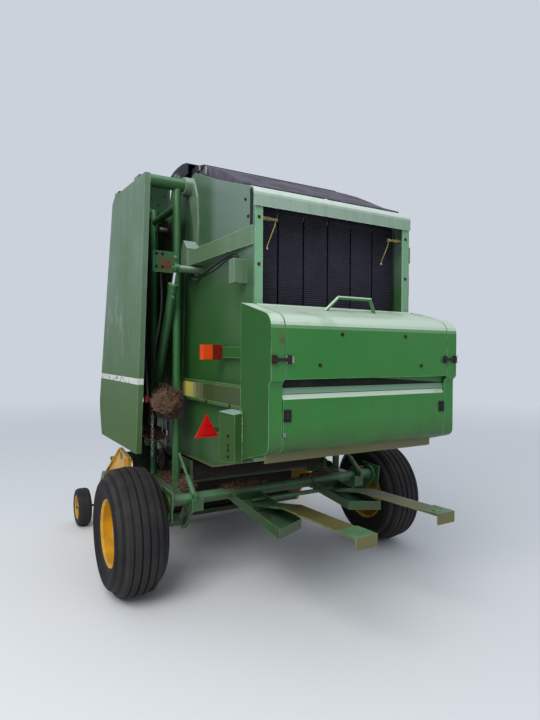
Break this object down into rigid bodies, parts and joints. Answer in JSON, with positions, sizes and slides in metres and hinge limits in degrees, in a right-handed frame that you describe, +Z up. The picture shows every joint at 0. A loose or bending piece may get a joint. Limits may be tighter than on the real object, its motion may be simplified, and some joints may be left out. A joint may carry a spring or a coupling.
{
  "type": "round baler",
  "caption": "Towed round baler with a belt chamber between two side walls, a lifting tailgate with a net box, a tined pickup, a bale ramp, a drawbar and a parking jack.",
  "frame": {"origin": "on the ground, at the middle of the machine's length and width", "axes": "+Y towards the tractor, +X to the right-hand side, +Z up"},
  "size_m": [2.55, 4.416, 3.092],
  "materials": {
    "body_green": "weathered green paint on pressed sheet steel",
    "frame_green": "worn green paint on tubes and beams",
    "pale_green": "sun-bleached green paint",
    "ramp_olive": "worn paint over rusted steel",
    "yellow": "yellow paint",
    "belt_rubber": "ribbed rubber belting",
    "cover_rubber": "weathered rubber sheet",
    "hose_rubber": "smooth black hydraulic hose",
    "tyre": "rubber",
    "bare_steel": "worn bright steel",
    "dark_steel": "oily dark steel",
    "black_plastic": "black moulded guard",
    "lamp": "orange and red lamp lens",
    "reflector": "red reflector"
  },
  "bodies": {
    "chassis": {"lower_frame": "frame_green", "hinge_tube": "frame_green", "left_posts": "frame_green", "right_posts": "frame_green", "chassis_walls": "body_green", "front_beam": "frame_green", "drawbar": "frame_green", "jack_tube": "frame_green", "gearbox": "frame_green", "front_rollers": "bare_steel", "front_belts": "belt_rubber", "starter_rolls": "bare_steel", "drive_chains": "dark_steel", "tension_springs": "dark_steel", "lift_hose": "hose_rubber", "feed_hose": "hose_rubber"},
    "tailgate": {"tailgate_walls": "body_green", "tailgate_frame": "pale_green", "tailgate_cap": "pale_green", "top_cover": "cover_rubber", "tailgate_rollers": "bare_steel", "tailgate_belts": "belt_rubber", "hinge_arms": "frame_green", "side_channels": "body_green", "tail_lamps": "lamp", "warning_triangle": "reflector", "side_boxes": "body_green", "net_box": "body_green", "net_rollers": "bare_steel", "arm_hose": "hose_rubber"},
    "net_lid": {"net_lid": "body_green"},
    "net_door": {"net_door": "body_green"},
    "left_shield": {"left_shield": "body_green"},
    "right_shield": {"right_shield": "body_green"},
    "left_barrel": {"left_barrel": "frame_green"},
    "left_rod": {"left_rod": "bare_steel"},
    "right_barrel": {"right_barrel": "frame_green"},
    "right_rod": {"right_rod": "bare_steel"},
    "left_wheel": {"left_tyre": "tyre", "left_rim": "yellow"},
    "right_wheel": {"right_tyre": "tyre", "right_rim": "yellow"},
    "pickup": {"pickup_frame": "frame_green", "pickup_shields": "yellow", "pickup_bands": "frame_green"},
    "pickup_reel": {"pickup_reel": "dark_steel"},
    "left_gauge_wheel": {"left_gauge_wheel": "yellow"},
    "right_gauge_wheel": {"right_gauge_wheel": "yellow"},
    "windguard": {"windguard": "frame_green"},
    "bale_ramp": {"bale_ramp": "ramp_olive"},
    "jack_leg": {"jack_leg": "bare_steel"},
    "drive_shaft": {"drive_shaft": "black_plastic"}
  },
  "joints": [
    {"name": "tailgate_hinge", "type": "hinge", "parent": "chassis", "child": "tailgate", "pos_m": [0, -0.6, 2.86], "axis": [-1, 0, 0], "range_deg": [0, 58]},
    {"name": "net_lid_hinge", "type": "hinge", "parent": "tailgate", "child": "net_lid", "pos_m": [0, -1.593, 1.91], "axis": [-1, 0, 0], "range_deg": [0, 78]},
    {"name": "net_door_hinge", "type": "hinge", "parent": "tailgate", "child": "net_door", "pos_m": [0, -1.853, 1.107], "axis": [1, 0, 0], "range_deg": [0, 100]},
    {"name": "left_shield_hinge", "type": "hinge", "parent": "chassis", "child": "left_shield", "pos_m": [-1.008, -0.83828, 2.84996], "axis": [0, 0.9979, 0.0642], "range_deg": [0, 75]},
    {"name": "right_shield_hinge", "type": "hinge", "parent": "chassis", "child": "right_shield", "pos_m": [1.008, -0.83828, 2.84996], "axis": [0, -0.9979, -0.0642], "range_deg": [0, 75]},
    {"name": "left_cylinder_hinge", "type": "hinge", "parent": "chassis", "child": "left_barrel", "pos_m": [-0.8, -0.14, 0.925], "axis": [1, 0, 0], "range_deg": [0, 6.03]},
    {"name": "left_rod_slide", "type": "slide", "parent": "left_barrel", "child": "left_rod", "axis": [0, -0.4431, 0.8965], "range_m": [0, 0.62223]},
    {"name": "right_cylinder_hinge", "type": "hinge", "parent": "chassis", "child": "right_barrel", "pos_m": [0.8, -0.14, 0.925], "axis": [1, 0, 0], "range_deg": [0, 6.03]},
    {"name": "right_rod_slide", "type": "slide", "parent": "right_barrel", "child": "right_rod", "axis": [0, -0.4431, 0.8965], "range_m": [0, 0.62223]},
    {"name": "left_wheel_spin", "type": "hinge", "parent": "chassis", "child": "left_wheel", "pos_m": [-1.1, -0.7, 0.425], "axis": [1, 0, 0], "continuous": true},
    {"name": "right_wheel_spin", "type": "hinge", "parent": "chassis", "child": "right_wheel", "pos_m": [1.1, -0.7, 0.425], "axis": [1, 0, 0], "continuous": true},
    {"name": "pickup_hinge", "type": "hinge", "parent": "chassis", "child": "pickup", "pos_m": [0, 0.2, 0.76], "axis": [1, 0, 0], "range_deg": [0, 14]},
    {"name": "pickup_reel_spin", "type": "hinge", "parent": "pickup", "child": "pickup_reel", "pos_m": [0, 0.66, 0.3], "axis": [1, 0, 0], "continuous": true},
    {"name": "left_gauge_wheel_spin", "type": "hinge", "parent": "pickup", "child": "left_gauge_wheel", "pos_m": [-1.12, 0.9, 0.1725], "axis": [1, 0, 0], "continuous": true},
    {"name": "right_gauge_wheel_spin", "type": "hinge", "parent": "pickup", "child": "right_gauge_wheel", "pos_m": [1.12, 0.9, 0.1725], "axis": [1, 0, 0], "continuous": true},
    {"name": "windguard_hinge", "type": "hinge", "parent": "pickup", "child": "windguard", "pos_m": [0, 0.4, 0.68], "axis": [1, 0, 0], "range_deg": [0, 30]},
    {"name": "bale_ramp_hinge", "type": "hinge", "parent": "chassis", "child": "bale_ramp", "pos_m": [0, -0.87, 0.63], "axis": [1, 0, 0], "range_deg": [0, 18], "stiffness_Nm_per_rad": 900, "springref_deg": -34.38},
    {"name": "jack_slide", "type": "slide", "parent": "chassis", "child": "jack_leg", "axis": [0, 0, -1], "range_m": [0, 0.15]},
    {"name": "drive_shaft_spin", "type": "hinge", "parent": "chassis", "child": "drive_shaft", "pos_m": [0, 0.63, 1.12], "axis": [0, 0.9864, -0.1644], "continuous": true}
  ],
  "couplings": [
    {"joint": "left_cylinder_hinge", "follows": "tailgate_hinge", "ratio": 0.10055},
    {"joint": "left_rod_slide", "follows": "tailgate_hinge", "m_per_rad": 0.61269},
    {"joint": "right_cylinder_hinge", "follows": "tailgate_hinge", "ratio": 0.10055},
    {"joint": "right_rod_slide", "follows": "tailgate_hinge", "m_per_rad": 0.61269}
  ]
}
